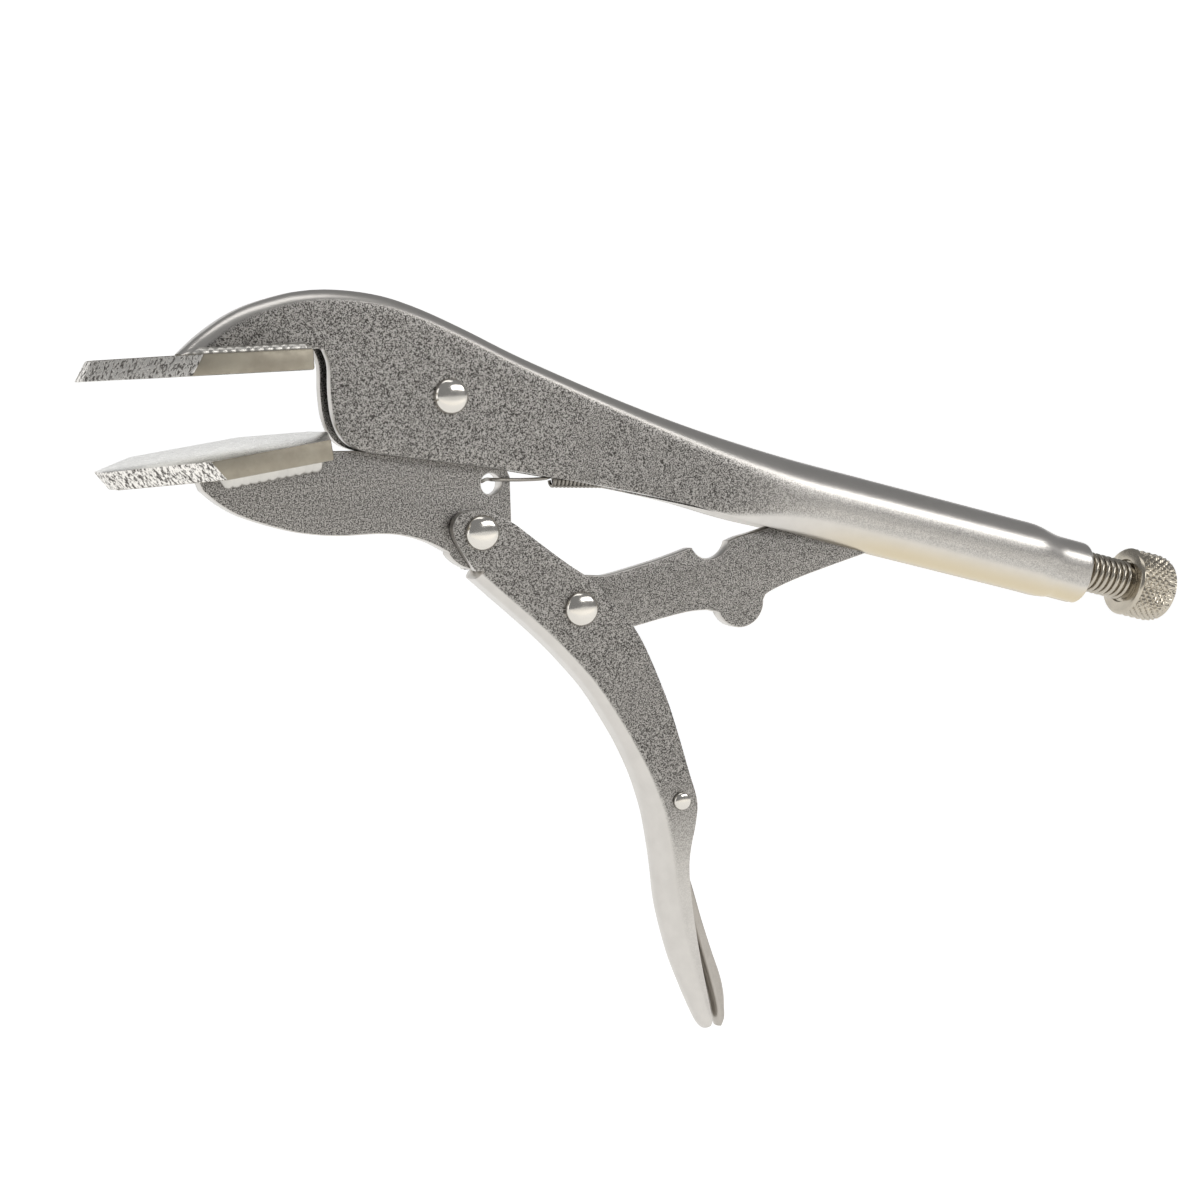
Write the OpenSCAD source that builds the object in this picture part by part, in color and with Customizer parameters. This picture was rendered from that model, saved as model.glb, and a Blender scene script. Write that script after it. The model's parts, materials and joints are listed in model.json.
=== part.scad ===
// Locking sheet-metal pliers with wide welded jaw plates.
// +X runs back to the adjusting knob, +Z is up and the tool is symmetric about the XZ plane.
// The origin is on the upper plate's clamping face, on the mid-plane.

/* [Jaw plates] */
// Width of each plate across the tool
plate_w = 64; // [48:1:84]
// Thickness of each plate
plate_t = 4.2; // [3:0.1:5]
// Length of the parallel sides
plate_side = 24.5; // [18:0.5:30]
// How far the slanted front runs ahead of the sides
plate_slant = 14.5; // [10:0.5:18]
// How far the slanted back runs behind the sides
plate_back = 8; // [5:0.5:10]
// Width of the flat nose
nose_w = 7; // [5:0.5:12]
// Distance from the nose to the frame's origin
nose_x = 19; // [16:0.5:22]
// Slope of the bevelled front faces
bevel = 30; // [15:1:35]
// Leg of the weld beads
weld_leg = 2.2; // [1.5:0.1:3]

/* [Sheet and joints] */
// Thickness of the folded handle sheet
sheet_t = 2.4; // [2:0.1:2.6]
// Thickness of the lever's sheet
lever_t = 2.2; // [1.8:0.1:2.4]
// Thickness of the lower jaw
jaw_t = 4; // [3:0.1:4.6]
// Thickness of the toggle link
link_t = 3.4; // [2.6:0.1:4]
// Side play between the flat pieces and the walls that straddle them
side_play = 0.3; // [0.2:0.05:0.5]
// Shank diameter of the three main rivets
rivet_d = 5.6; // [4.5:0.1:6]
// Head diameter of the three main rivets
head_d = 7.6; // [7:0.1:8.4]
// Height of the rivet heads
head_h = 2; // [1.4:0.1:2.4]
// Shank diameter of the release lever's rivet
small_rivet_d = 2.8; // [2.2:0.1:3.2]
// Radial clearance of every turning fit
run_fit = 0.05; // [0.02:0.01:0.09]

/* [Handles] */
// Room between the screw and the inside of the handle's tubular rear part
screw_room = 0.55; // [0.3:0.05:1.5]
// Outside width of the lever's grip
grip_w = 11; // [10:0.5:14]
// Downward slope of the fixed handle and its screw
slope = 16.8; // [15:0.1:18]

/* [Adjusting screw] */
// Outside diameter of the thread
thread_d = 9.5; // [8:0.1:9.8]
// Length of thread in sight behind the handle
thread_out = 12.8; // [4:0.1:16]
// Diameter of the knurled knob
knob_d = 16; // [14:0.5:20]
// Length of the knob
knob_l = 11.5; // [9:0.5:15]

/* [Spring] */
// Outside diameter of the coils
coil_d = 3.2; // [2.6:0.1:3.6]
// Wire diameter
wire_d = 0.8; // [0.5:0.1:1]

/* [Hidden] */
$fn = 64;
eps = 0.01;

// Pivots of the linkage, as [x, z]
jaw_pin = [58, -7];
lever_pin = [63.3, -36];
link_pin = [85, -54];
release_pin = [106, -98];
spring_hole = [67, -26];
spring_end = [118, -29.5];
hole_d = 4;

// Widths that follow from the sheets
gap_w = jaw_t + 2 * side_play;
front_w = gap_w + 2 * sheet_t;
head_w = gap_w + 2 * lever_t;
grip_gap = grip_w - 2 * lever_t;
barrel_r = thread_d / 2 + screw_room + sheet_t;
barrel_w = 2 * barrel_r;
barrel_drop = 1;
slot_w = gap_w + 0.2;

// Rear end of the handle, where the screw leaves it
end_pt = [214.3, -56.2];
neck_l = 13;
neck_r = thread_d / 2 + 1.5;
barrel_l = 101;
lip_d = neck_r + 1.95;

// Screw and knob along their own axis, measured from the handle's end
tip_gap = 2.2;
link_end_r = 4.5;
link_end_u = -48.8;
tip_u = link_end_u + link_end_r + tip_gap;
knob_grip = 8;

// Back edge of the plates, and the handle's throat behind it
plate_end = plate_slant - nose_x + plate_side + plate_back;
throat_x = plate_end + 3;

// Lower plate: its own origin and tilt with the jaws as drawn
lower_at = [2.5, -15.8];
lower_tilt = 6.5;

steel = [0.70, 0.68, 0.66];
bright = [0.80, 0.79, 0.77];
warm = [0.74, 0.71, 0.66];
dark = [0.45, 0.43, 0.40];

// A point of the smooth curve through b and c, with neighbours a and d
function blend_pt(a, b, c, d, t) =
    0.5 * (2 * b + (c - a) * t + (2 * a - 5 * b + 4 * c - d) * t * t
           + (3 * b - a - 3 * c + d) * t * t * t);

// The smooth curve through a list of points, n steps to each span
function smooth(p, n = 6) =
    let (last = len(p) - 1)
    [for (i = [0 : last - 1])
        for (k = [0 : n - 1 + (i == last - 1 ? 1 : 0)])
            blend_pt(p[max(i - 1, 0)], p[i], p[i + 1], p[min(i + 2, last)], k / n)];

// Points along an arc about c, from one angle to another
function arc(c, r, from, to, n = 18) =
    [for (k = [0 : n]) c + r * [cos(from + (to - from) * k / n), sin(from + (to - from) * k / n)]];

// The fixed handle's fold line, from the jaw's tip to the start of the tube
back_line = smooth([[1, plate_t], [3, 5.8], [6.3, 8.5], [11.5, 11.7], [17, 14], [24.5, 15.8],
                    [31, 16.4], [37.5, 16], [45, 14.5], [53, 11.6], [63.5, 6.6], [73.5, 1.3],
                    [84, -3.7], [95, -8.8], [106, -13.4], [117.5, -18.1], [129, -22]]);
// Its lower edge, from the tube back to the throat
belly_line = smooth([[131, -40], [123, -37.5], [114.5, -34.4], [103, -31], [92, -28.1],
                     [81, -25.6], [70, -23.2], [59, -21], [throat_x + 15, -18.7],
                     [throat_x + 7, -17.1], [throat_x + 2.4, -13.6],
                     [throat_x + 0.8, -7.5], [throat_x + 1.2, 0]]);
// The lever's folded outer edge, from its upper end to the tail
lever_outer = smooth([[61.6, -45.4], [63.5, -47], [71, -54.5], [81.4, -65.3], [87, -72.4],
                      [92, -81], [96.6, -91.5], [99.2, -102], [100.9, -121.5], [103.2, -132.3],
                      [108.4, -146.8]]);
// Its open inner edge, from the tail back to the boss
lever_inner = smooth([[111.6, -149], [111, -147], [109.7, -140.5], [108.2, -131], [107.1, -120],
                      [107, -113], [109, -103], [109.8, -98], [108.2, -91.5], [106, -82],
                      [103.5, -73.6], [98.5, -61], [93.2, -54], [88, -48.2], [77.2, -39.9],
                      [69.4, -33.7]]);

// Draws a side view, given in X and Z, as a solid w wide about the mid-plane
module slab(w) {
    rotate([90, 0, 0]) linear_extrude(w, center = true) children();
}

// Moves to a point given in X and Z
module at(p) {
    translate([p[0], 0, p[1]]) children();
}

// A cylinder across the tool
module cross_pin(d, w) {
    rotate([90, 0, 0]) cylinder(d = d, h = w, center = true);
}

// Turns the handle's own axis to +Z, with its far end at z = 0
module handle_axis() {
    at(end_pt) rotate([0, 90 + slope, 0]) children();
}

// ---- Jaw plates ----

module plate_outline() {
    side_x = plate_slant - nose_x;
    back_x = side_x + plate_side;
    half = plate_w / 2;
    polygon([[-nose_x, -nose_w / 2], [side_x, -half], [back_x, -half],
             [back_x + plate_back, -6], [back_x + plate_back, 6],
             [back_x, half], [side_x, half], [-nose_x, nose_w / 2]]);
}

// Cuts a bevelled face under the line from a, running at an angle across the plate
module bevel_cut(a, turn) {
    translate([a[0], a[1], 0]) rotate([0, 0, turn]) rotate([0, bevel, 0])
        translate([-20, -50, -10]) cube([20, 100, 40]);
}

// A plate lying on z = 0, its clamping face down
module plate() {
    run = plate_w / 2 - nose_w / 2;
    turn = atan2(plate_slant, run);
    difference() {
        linear_extrude(plate_t) plate_outline();
        bevel_cut([-nose_x, 0], 0);
        bevel_cut([-nose_x, nose_w / 2], -turn);
        bevel_cut([-nose_x, -nose_w / 2], turn);
    }
}

// Puts a piece drawn above z = 0 on the lower jaw, turned over
module on_lower_jaw() {
    at(lower_at) rotate([0, -lower_tilt, 0]) mirror([0, 0, 1]) children();
}

// A fillet of weld along the corner between a wall and a plate
module weld_bead(x0, x1, wall, side) {
    leg = weld_leg;
    mirror([0, side < 0 ? 1 : 0, 0])
        translate([x0, wall, plate_t]) rotate([90, 0, 90])
            linear_extrude(x1 - x0)
                polygon([[0, 0], [leg, 0], [0.75 * leg, 0.45 * leg],
                         [0.45 * leg, 0.75 * leg], [0, leg]]);
}

module upper_plate() {
    color(warm) plate();
}

module lower_plate() {
    color(warm) on_lower_jaw() plate();
}

module upper_weld_near() {
    color(bright) weld_bead(3.5, plate_end - 1, front_w / 2, -1);
}

module upper_weld_far() {
    color(bright) weld_bead(3.5, plate_end - 1, front_w / 2, 1);
}

module lower_weld_near() {
    color(bright) on_lower_jaw() weld_bead(4.5, plate_end - 1, jaw_t / 2, -1);
}

module lower_weld_far() {
    color(bright) on_lower_jaw() weld_bead(4.5, plate_end - 1, jaw_t / 2, 1);
}

// ---- Fixed handle ----

module front_outline() {
    polygon(concat(back_line, belly_line, [[throat_x, plate_t]]));
}

// The space inside the fold: everything under the back line, less the sheet
module front_hollow() {
    offset(delta = -sheet_t)
        polygon(concat(back_line, [[150, -29.5], [150, -120], [1, -120]]));
}

module tube_section(r, drop) {
    circle(r);
    translate([0, -r]) square([drop, 2 * r]);
    translate([drop, 0]) circle(r);
}

module fixed_handle() {
    color(steel) difference() {
        union() {
            difference() {
                slab(front_w) front_outline();
                slab(gap_w) front_hollow();
            }
            handle_axis() {
                translate([0, 0, -barrel_l]) linear_extrude(barrel_l - neck_l)
                    difference() {
                        tube_section(barrel_r, barrel_drop);
                        tube_section(barrel_r - sheet_t, barrel_drop);
                    }
                translate([0, 0, -neck_l - 2]) cylinder(r = neck_r, h = neck_l + 2);
                translate([0, 0, -neck_l - 1]) cylinder(r1 = barrel_r - 0.4, r2 = neck_r - 0.2, h = 7);
                translate([0, 0, -neck_l - 2]) linear_extrude(10)
                    translate([neck_r - 2, -2.4]) square([lip_d - neck_r + 2, 4.8]);
            }
        }
        // The link and the spring pass through the open underside
        handle_axis() translate([0, -slot_w / 2, -barrel_l - 1])
            cube([barrel_w, slot_w, barrel_l - neck_l - 6]);
        handle_axis() translate([0, -gap_w / 2, -barrel_l - 1])
            cube([barrel_r + barrel_drop, gap_w, 24]);
        // Bore of the screw, split along the underside
        handle_axis() translate([0, 0, -neck_l - 8])
            cylinder(r = thread_d / 2 + run_fit, h = neck_l + 9);
        handle_axis() translate([0, -0.6, -neck_l - 8]) cube([barrel_w, 1.2, neck_l + 9]);
        at(jaw_pin) cross_pin(rivet_d + 2 * run_fit, barrel_w);
    }
}

module spring_anchor() {
    color(steel) difference() {
        slab(1.6) polygon([[115, -21.6], [120, -23.6], [120, -31], [115, -31]]);
        at(spring_end) cross_pin(wire_d + 1.2, 10);
    }
}

// ---- Lower jaw ----

// Height of the lower plate's underside above a given x
function under_plate(x) =
    lower_at[1] - plate_t / cos(lower_tilt) + (x - lower_at[0]) * tan(lower_tilt);

module lower_jaw() {
    color(steel) difference() {
        slab(jaw_t) {
            polygon(concat(
                [[3.2, under_plate(3.2)]],
                smooth([[4.4, -23.2], [8, -26.4], [12.6, -29.2], [20, -32], [26, -33.6],
                        [33, -34.5], [41, -34.7], [46.5, -35.4], [52, -37.2], [57, -40]]),
                [[63, -43], [69, -39.5], [71.5, -35], [71.5, -24.5], [70.5, -23], [66, -8],
                 [58, 1], [49, -9], [plate_end + 16, -15], [plate_end + 11, -17.2],
                 [throat_x, under_plate(throat_x)]]));
            translate(jaw_pin) circle(9.5);
            translate(lever_pin) circle(8);
        }
        at(jaw_pin) cross_pin(rivet_d + 2 * run_fit, 20);
        at(lever_pin) cross_pin(rivet_d + 2 * run_fit, 20);
        at(spring_hole) cross_pin(hole_d, 20);
    }
}

// ---- Lever handle, toggle link and release lever ----

module lever_boss() {
    polygon([[56.8, -35.5], [57.4, -32.9], [59.2, -31.5], [64, -31.4], [69.4, -33.7], [77, -60],
             [71, -54.5], [63.5, -47], [61.6, -45.4], [61.2, -43.6], [60.2, -42]]);
}

module lever_outline() {
    polygon(concat(lever_outer, [[110, -150.2]], lever_inner, [[66, -43]]));
}

// The space inside the fold: everything behind the outer edge, less the sheet
module lever_hollow() {
    offset(delta = -lever_t)
        polygon(concat(lever_outer, [[112, -156], [180, -156], [180, -20], [61.6, -20]]));
}

module lever_handle() {
    color(steel) difference() {
        union() {
            slab(head_w) {
                lever_boss();
                lever_outline();
            }
            slab(grip_w) intersection() {
                lever_outline();
                translate([40, -200]) square([100, 110]);
            }
        }
        slab(gap_w) {
            lever_hollow();
            translate([40, -45.8]) square([80, 40]);
        }
        slab(grip_gap) intersection() {
            lever_hollow();
            translate([40, -200]) square([100, 110 - lever_t]);
        }
        at(lever_pin) cross_pin(rivet_d + 2 * run_fit, 20);
        at(link_pin) cross_pin(rivet_d + 2 * run_fit, 20);
        at(release_pin) cross_pin(small_rivet_d + 2 * run_fit, 20);
    }
}

module toggle_link() {
    link_end = [end_pt[0] + link_end_u * cos(slope), end_pt[1] - link_end_u * sin(slope)];
    color(steel) difference() {
        slab(link_t) polygon(concat(
            arc(link_pin, 7.2, -100, -280),
            smooth([[92, -47.6], [96, -47], [106, -45], [112.6, -43.3]]),
            arc([117.8, -41.2], 4.8, 205, 345),
            smooth([[125, -41.6], [130.5, -40.6], [140, -38.6], [152, -37.6], [163, -37.6]]),
            arc(link_end, link_end_r, 80, -100),
            smooth([[163, -46.6], [157, -47.8], [145, -50.6], [138.8, -52.2], [133.2, -54],
                    [131, -55]]),
            arc([124.6, -56], 5.8, 0, -160),
            smooth([[116.4, -57.2], [112, -57.2], [106, -58], [99, -59.2], [91, -60.4]])));
        at(link_pin) cross_pin(rivet_d + 2 * run_fit, 20);
    }
}

module release_lever() {
    wide = grip_gap - 2 * side_play;
    wall = 1.2;
    outer = smooth([[103.2, -98], [103.6, -104], [105, -114], [107, -122.5], [109, -130],
                    [111.1, -138], [112.9, -146]]);
    inner = smooth([[115.4, -148], [115.7, -144], [115, -139.3], [112.5, -131.5],
                    [110, -123.3], [108.3, -114], [108, -106], [109, -98]]);
    color(steel) difference() {
        slab(wide)
            polygon(concat([[104, -95]], outer, [[113.5, -149.8], [114.4, -150.4]], inner,
                           [[111, -95], [109.6, -92.8], [106, -93]]));
        slab(wide - 2 * wall) offset(delta = -wall)
            polygon(concat([[106, -90]], outer, [[113.4, -149], [180, -149], [180, -90]]));
        at(release_pin) cross_pin(small_rivet_d + 2 * run_fit, 20);
    }
}

// ---- Rivets ----

// A shank with a domed head at each side of a stack w wide
module rivet(p, shank, head, dome, w) {
    r = (head * head / 4 + dome * dome) / (2 * dome);
    at(p) {
        cross_pin(shank, w + eps);
        for (side = [-1, 1])
            intersection() {
                translate([0, side * (w / 2 + dome - r), 0]) sphere(r);
                translate([-head, side > 0 ? w / 2 : -w / 2 - head, -head])
                    cube([2 * head, head, 2 * head]);
            }
    }
}

module jaw_rivet() {
    color(bright) rivet(jaw_pin, rivet_d, head_d, head_h, front_w);
}

module lever_rivet() {
    color(bright) rivet(lever_pin, rivet_d, head_d, head_h, head_w);
}

module link_rivet() {
    color(bright) rivet(link_pin, rivet_d, head_d, head_h, head_w);
}

module release_rivet() {
    color(bright) rivet(release_pin, small_rivet_d, head_d * 0.53, head_h * 0.6, grip_w);
}

// ---- Adjusting screw ----

module adjusting_screw() {
    color(warm) handle_axis() translate([0, 0, tip_u])
        cylinder(d = thread_d, h = thread_out + knob_grip - tip_u);
}

module adjusting_knob() {
    edge = 0.6;
    round_r = 3;
    color(warm) handle_axis() translate([0, 0, thread_out]) difference() {
        rotate_extrude() difference() {
            union() {
                square([knob_d / 2 - round_r, knob_l]);
                polygon([[0, 0], [knob_d / 2 - edge, 0], [knob_d / 2, edge],
                         [knob_d / 2, knob_l - round_r], [0, knob_l - round_r]]);
                translate([knob_d / 2 - round_r, knob_l - round_r]) circle(round_r);
            }
            translate([-knob_d, 0]) square([knob_d, knob_l]);
        }
        translate([0, 0, -1]) cylinder(r = thread_d / 2 + run_fit, h = knob_grip + 1.5);
    }
}

// ---- Spring ----

// A straight length of round wire between two points, carried a little past both
module wire(a, b, d) {
    run = b - a;
    over = wire_d / 4;
    translate(a) rotate([0, acos(run[2] / norm(run)), atan2(run[1], run[0])])
        translate([0, 0, -over]) cylinder(d = d, h = norm(run) + 2 * over, $fn = 24);
}

module return_spring() {
    side = jaw_t / 2 + wire_d / 2 + 0.1;
    tab_side = 0.8 + wire_d / 2 + 0.1;
    hook = [spring_hole[0] + 0.2, spring_hole[1] + 0.8];
    bend = [73.5, -side, hook[1] - 0.35];
    coil_a = [81.5, -0.4, -26.4];
    coil_b = [111, -0.4, -28.6];
    turn = [113.8, -tab_side, -28.9];
    tail = [spring_end[0], -tab_side, spring_end[1]];
    thick = 1.08 * wire_d;
    color(dark) {
        wire([hook[0], side, hook[1]], [hook[0], -side, hook[1]], thick);
        wire([hook[0], -side, hook[1]], bend, wire_d);
        wire(bend, coil_a + [1.2, 0, -0.1], thick);
        wire(coil_a, coil_b, coil_d);
        wire(coil_b - [1.2, 0, -0.1], turn, thick);
        wire(turn, tail, wire_d);
        wire(tail, [tail[0], tab_side, tail[2]], thick);
    }
}

fixed_handle();
upper_plate();
upper_weld_near();
upper_weld_far();
lower_jaw();
lower_plate();
lower_weld_near();
lower_weld_far();
jaw_rivet();
lever_rivet();
link_rivet();
release_rivet();
lever_handle();
toggle_link();
release_lever();
adjusting_screw();
adjusting_knob();
return_spring();
spring_anchor();
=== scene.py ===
"""Locking pliers with wide welded jaw plates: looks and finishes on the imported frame."""
import json
import math

import bmesh
import bpy
from mathutils import Matrix, Vector

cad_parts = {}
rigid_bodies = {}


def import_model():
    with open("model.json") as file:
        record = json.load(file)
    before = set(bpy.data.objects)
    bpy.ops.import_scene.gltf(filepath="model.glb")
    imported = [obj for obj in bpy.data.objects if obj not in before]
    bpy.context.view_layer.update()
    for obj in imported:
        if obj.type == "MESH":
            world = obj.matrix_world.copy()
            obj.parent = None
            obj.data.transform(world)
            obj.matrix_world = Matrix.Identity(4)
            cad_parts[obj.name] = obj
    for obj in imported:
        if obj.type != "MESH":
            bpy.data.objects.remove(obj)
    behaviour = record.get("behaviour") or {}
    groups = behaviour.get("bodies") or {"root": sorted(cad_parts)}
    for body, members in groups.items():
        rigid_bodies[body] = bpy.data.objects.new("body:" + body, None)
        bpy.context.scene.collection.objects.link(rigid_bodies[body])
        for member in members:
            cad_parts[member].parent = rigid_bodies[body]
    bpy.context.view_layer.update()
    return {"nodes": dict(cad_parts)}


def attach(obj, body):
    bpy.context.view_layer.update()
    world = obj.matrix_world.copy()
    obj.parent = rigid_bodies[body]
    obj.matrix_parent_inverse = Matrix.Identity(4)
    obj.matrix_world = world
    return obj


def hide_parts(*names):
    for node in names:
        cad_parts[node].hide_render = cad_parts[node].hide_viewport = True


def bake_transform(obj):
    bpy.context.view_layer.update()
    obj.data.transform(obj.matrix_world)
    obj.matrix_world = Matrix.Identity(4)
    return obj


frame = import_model()
MM = 0.001

# Sizes shared with the steel itself, in millimetres
JAW_T = 4.0
LINK_T = 3.4
SHEET_T = 2.4
LEVER_T = 2.2
FRONT_HALF = 4.7
PLATE_T = 4.2
THREAD_D = 9.5
PITCH = 1.6
THREAD_OUT = 12.8
CREST_R = 0.62
WIRE_D = 0.8
COIL_D = 3.2
COIL_STEP = 0.92
EDGE = 0.22
JAW_PIN = (58, -7)
LEVER_PIN = (63.3, -36)
LINK_PIN = (85, -54)
RELEASE_PIN = (106, -98)
SPRING_HOLE = (67, -26)
HANDLE_END = (214.3, -56.2)
SLOPE = math.radians(16.8)
AXIS = (math.cos(SLOPE), -math.sin(SLOPE))
ACROSS = (math.sin(SLOPE), math.cos(SLOPE))
LOWER_AT = (2.5, -15.8)
LOWER_TILT = math.radians(6.5)

# The studio floor, in metres
FLOOR_Z = -0.1545
FLOOR_REACH = 8.0


# ---------------------------------------------------------------- curves and meshes

def smooth(keys, steps=6):
    """Rows of numbers read off a smooth curve through the key rows."""
    rows = []
    last = len(keys) - 1
    for i in range(last):
        a, b, c, d = keys[max(i - 1, 0)], keys[i], keys[i + 1], keys[min(i + 2, last)]
        for k in range(steps + (1 if i == last - 1 else 0)):
            t = k / steps
            rows.append(tuple(
                0.5 * (2 * q + (r - p) * t + (2 * p - 5 * q + 4 * r - s) * t * t
                       + (3 * q - p - 3 * r + s) * t * t * t)
                for p, q, r, s in zip(a, b, c, d)))
    return rows


def arc(centre, radius, start, end, steps=18):
    """Points along an arc, angles in degrees."""
    points = []
    for k in range(steps + 1):
        turn = math.radians(start + (end - start) * k / steps)
        points.append((centre[0] + radius * math.cos(turn), centre[1] + radius * math.sin(turn)))
    return points


def on_axis(u, up=0.0):
    """The side-view point u along the handle's axis from its end, and up across it."""
    return (HANDLE_END[0] + u * AXIS[0] + up * ACROSS[0],
            HANDLE_END[1] + u * AXIS[1] + up * ACROSS[1])


def add_object(name, data):
    """A new object in the scene."""
    obj = bpy.data.objects.new(name, data)
    bpy.context.scene.collection.objects.link(obj)
    return obj


def mesh_object(name, verts, faces, scale=MM):
    """A new object from points in millimetres."""
    mesh = bpy.data.meshes.new(name)
    mesh.from_pydata([tuple(c * scale for c in v) for v in verts], [], faces)
    mesh.update()
    return add_object(name, mesh)


def face_outwards(obj, merge=False):
    """Turns the faces outwards, closing the seams first where asked."""
    bm = bmesh.new()
    bm.from_mesh(obj.data)
    if merge:
        bmesh.ops.remove_doubles(bm, verts=bm.verts, dist=1e-6)
    bmesh.ops.recalc_face_normals(bm, faces=bm.faces)
    bm.to_mesh(obj.data)
    bm.free()


def shade(obj, angle):
    """Smooths all but the edges sharper than this many degrees."""
    obj.data.shade_smooth()
    obj.data.set_sharp_from_angle(angle=math.radians(angle))
    return obj


def clean(obj, merge=True, angle=40):
    """Closes seams, turns faces outwards and smooths all but the sharp edges."""
    face_outwards(obj, merge)
    return shade(obj, angle)


def bake(obj):
    """The object with its modifiers made part of its mesh."""
    graph = bpy.context.evaluated_depsgraph_get()
    mesh = bpy.data.meshes.new_from_object(obj.evaluated_get(graph))
    old = obj.data
    obj.modifiers.clear()
    if obj.type == "MESH":
        obj.data = mesh
        return obj
    name = obj.name
    bpy.data.objects.remove(obj)
    bpy.data.curves.remove(old)
    return add_object(name, mesh)


def soften(obj, width, segments=2, angle=40):
    """Takes the sharpness off the edges, as tumbling does."""
    mod = obj.modifiers.new("soften", "BEVEL")
    mod.width = width * MM
    mod.segments = segments
    mod.limit_method = "ANGLE"
    mod.angle_limit = math.radians(angle)
    mod.use_clamp_overlap = True
    return bake(obj)


def grid_faces(rows, cols, closed=False):
    """Quads between rows of points, each row closed on itself where asked."""
    faces = []
    for i in range(rows - 1):
        for j in range(cols if closed else cols - 1):
            k = (j + 1) % cols
            faces.append((i * cols + j, i * cols + k, (i + 1) * cols + k, (i + 1) * cols + j))
    return faces


def lathe(name, profile, turns=64, where=None):
    """A turned piece from (radius, height) pairs about Z, closed at its poles."""
    verts, faces = [], []
    rings = []
    for r, h in profile:
        if r < 1e-6:
            rings.append([len(verts)])
            verts.append((0, 0, h))
            continue
        rings.append(list(range(len(verts), len(verts) + turns)))
        verts += [(r * math.cos(2 * math.pi * k / turns), r * math.sin(2 * math.pi * k / turns), h)
                  for k in range(turns)]
    for lower, upper in zip(rings, rings[1:]):
        for k in range(turns):
            n = (k + 1) % turns
            corners = [lower[k % len(lower)], lower[n % len(lower)],
                       upper[n % len(upper)], upper[k % len(upper)]]
            face = list(dict.fromkeys(corners))
            if len(face) > 2:
                faces.append(face)
    obj = mesh_object(name, verts, faces)
    if where is not None:
        obj.data.transform(where)
    return clean(obj)


def place(obj, body, material, nodes):
    """Gives a finished piece its body and the nodes it stands for.

    A piece with no material named here keeps its own.
    """
    if material is not None:
        obj.data.materials.clear()
        obj.data.materials.append(material)
    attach(obj, body)
    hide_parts(*nodes)
    return obj


def join(name, objects):
    """Several meshes made one piece."""
    bm = bmesh.new()
    for obj in objects:
        bm.from_mesh(obj.data)
    mesh = bpy.data.meshes.new(name)
    bm.to_mesh(mesh)
    bm.free()
    for obj in objects:
        bpy.data.objects.remove(obj)
    return add_object(name, mesh)


# ---------------------------------------------------------------- finishes

class Finish:
    """A metal finish, built node by node."""

    def __init__(self, name, colour, roughness):
        self.material = bpy.data.materials.new(name)
        self.material.use_nodes = True
        self.nodes = self.material.node_tree.nodes
        self.links = self.material.node_tree.links
        self.nodes.clear()
        out = self.nodes.new("ShaderNodeOutputMaterial")
        self.shader = self.nodes.new("ShaderNodeBsdfPrincipled")
        self.links.new(self.shader.outputs["BSDF"], out.inputs["Surface"])
        self.shader.inputs["Metallic"].default_value = 1.0
        self.shader.inputs["Base Color"].default_value = (*colour, 1)
        self.shader.inputs["Roughness"].default_value = roughness
        self.where = self.nodes.new("ShaderNodeTexCoord").outputs["Object"]

    def math(self, kind, a, b=None):
        node = self.nodes.new("ShaderNodeMath")
        node.operation = kind
        for socket, value in zip(node.inputs, (a, b)):
            if value is None:
                continue
            if isinstance(value, (int, float)):
                socket.default_value = value
            else:
                self.links.new(value, socket)
        return node.outputs[0]

    def noise(self, scale, detail=2.0, rough=0.6, stretch=None):
        where = self.where
        if stretch:
            mapping = self.nodes.new("ShaderNodeMapping")
            mapping.inputs["Scale"].default_value = stretch
            self.links.new(where, mapping.inputs["Vector"])
            where = mapping.outputs[0]
        node = self.nodes.new("ShaderNodeTexNoise")
        node.inputs["Scale"].default_value = scale
        node.inputs["Detail"].default_value = detail
        node.inputs["Roughness"].default_value = rough
        self.links.new(where, node.inputs["Vector"])
        return node.outputs[0]

    def spread(self, value, low, high, to_low=0.0, to_high=1.0):
        node = self.nodes.new("ShaderNodeMapRange")
        node.interpolation_type = "SMOOTHSTEP"
        for name, number in (("From Min", low), ("From Max", high),
                             ("To Min", to_low), ("To Max", to_high)):
            node.inputs[name].default_value = number
        self.links.new(value, node.inputs["Value"])
        return node.outputs[0]

    def split(self, vector):
        node = self.nodes.new("ShaderNodeSeparateXYZ")
        self.links.new(vector, node.inputs[0])
        return node.outputs

    def flatness(self, low, high):
        """1 on the flat side faces, 0 where the sheet is folded."""
        normal = self.nodes.new("ShaderNodeNewGeometry").outputs["Normal"]
        return self.spread(self.math("ABSOLUTE", self.split(normal)[1]), low, high)

    def mix(self, factor, a, b):
        node = self.nodes.new("ShaderNodeMix")
        node.data_type = "RGBA"
        for socket, value in ((node.inputs[0], factor), (node.inputs[6], a), (node.inputs[7], b)):
            if isinstance(value, tuple):
                socket.default_value = (*value, 1)
            elif isinstance(value, (int, float)):
                socket.default_value = value
            else:
                self.links.new(value, socket)
        return node.outputs[2]

    def colour(self, value):
        self.links.new(value, self.shader.inputs["Base Color"])

    def rough(self, value):
        self.links.new(value, self.shader.inputs["Roughness"])

    def bump(self, height, depth, strength=1.0):
        node = self.nodes.new("ShaderNodeBump")
        node.inputs["Strength"].default_value = strength
        node.inputs["Distance"].default_value = depth * MM
        self.links.new(height, node.inputs["Height"])
        self.links.new(node.outputs[0], self.shader.inputs["Normal"])


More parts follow.
